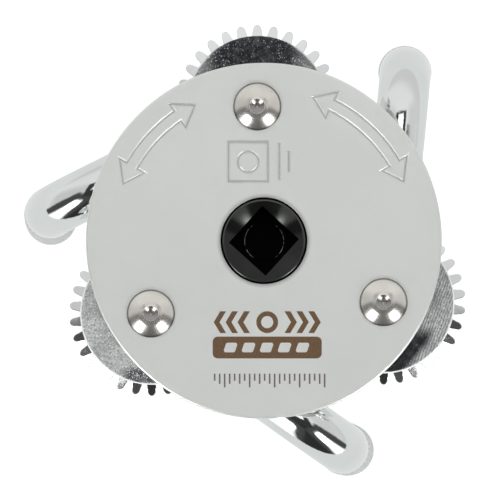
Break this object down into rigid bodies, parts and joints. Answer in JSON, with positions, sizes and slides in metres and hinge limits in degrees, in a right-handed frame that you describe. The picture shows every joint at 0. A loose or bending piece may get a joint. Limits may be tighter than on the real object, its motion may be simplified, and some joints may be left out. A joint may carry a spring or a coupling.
{
  "type": "oil filter wrench",
  "caption": "Two-way filter wrench: round plate over geared round legs that swing in to grip a canister when a square drive in the middle is turned.",
  "frame": {"origin": "on the drive axis, at the centre of the floor of the square drive socket", "axes": "+Z along the drive axis, out of the socket towards the ratchet; legs hang down -Z; the socket's flats are parallel to X and Y; first leg pivot lies at 45 degrees from +X towards +Y"},
  "size_m": [0.0923, 0.0874, 0.0876],
  "materials": {
    "satin_plate": "satin, bright nickel plated, soft rounded edge",
    "black_oxide": "black oxide, lightly oiled",
    "chrome": "polished chrome plate, diamond knurl on the gripping length",
    "gear_chrome": "chrome plate over a rough cast boss; smooth tooth faces",
    "nickel": "polished nickel plate",
    "spring_steel": "phosphated spring steel",
    "plain_steel": "ground steel, lightly oiled"
  },
  "bodies": {
    "housing": {"top_plate": "satin_plate", "bottom_plate": "satin_plate", "wave_washer": "spring_steel", "pivot_rivet_1": "nickel", "pivot_sleeve_1": "plain_steel", "pivot_rivet_2": "nickel", "pivot_sleeve_2": "plain_steel", "pivot_rivet_3": "nickel", "pivot_sleeve_3": "plain_steel"},
    "drive": {"drive_gear": "black_oxide", "retaining_ring": "spring_steel"},
    "leg_1": {"leg_gear_1": "gear_chrome", "leg_bar_1": "chrome", "leg_pin_1": "plain_steel"},
    "leg_2": {"leg_gear_2": "gear_chrome", "leg_bar_2": "chrome", "leg_pin_2": "plain_steel"},
    "leg_3": {"leg_gear_3": "gear_chrome", "leg_bar_3": "chrome", "leg_pin_3": "plain_steel"}
  },
  "joints": [
    {"name": "drive_spin", "type": "hinge", "parent": "housing", "child": "drive", "pos_m": [0, 0, 0], "axis": [0, 0, 1], "range_deg": [-16, 297.5]},
    {"name": "leg_1_swing", "type": "hinge", "parent": "housing", "child": "leg_1", "pos_m": [0.01874, 0.01874, 0], "axis": [0, 0, 1], "range_deg": [-238.5, 13.3]},
    {"name": "leg_2_swing", "type": "hinge", "parent": "housing", "child": "leg_2", "pos_m": [-0.0256, 0.00686, 0], "axis": [0, 0, 1], "range_deg": [-238.5, 13.3]},
    {"name": "leg_3_swing", "type": "hinge", "parent": "housing", "child": "leg_3", "pos_m": [0.00686, -0.0256, 0], "axis": [0, 0, 1], "range_deg": [-238.5, 13.3]}
  ],
  "couplings": [
    {"joint": "leg_1_swing", "follows": "drive_spin", "ratio": -0.8},
    {"joint": "leg_2_swing", "follows": "drive_spin", "ratio": -0.8},
    {"joint": "leg_3_swing", "follows": "drive_spin", "ratio": -0.8}
  ]
}
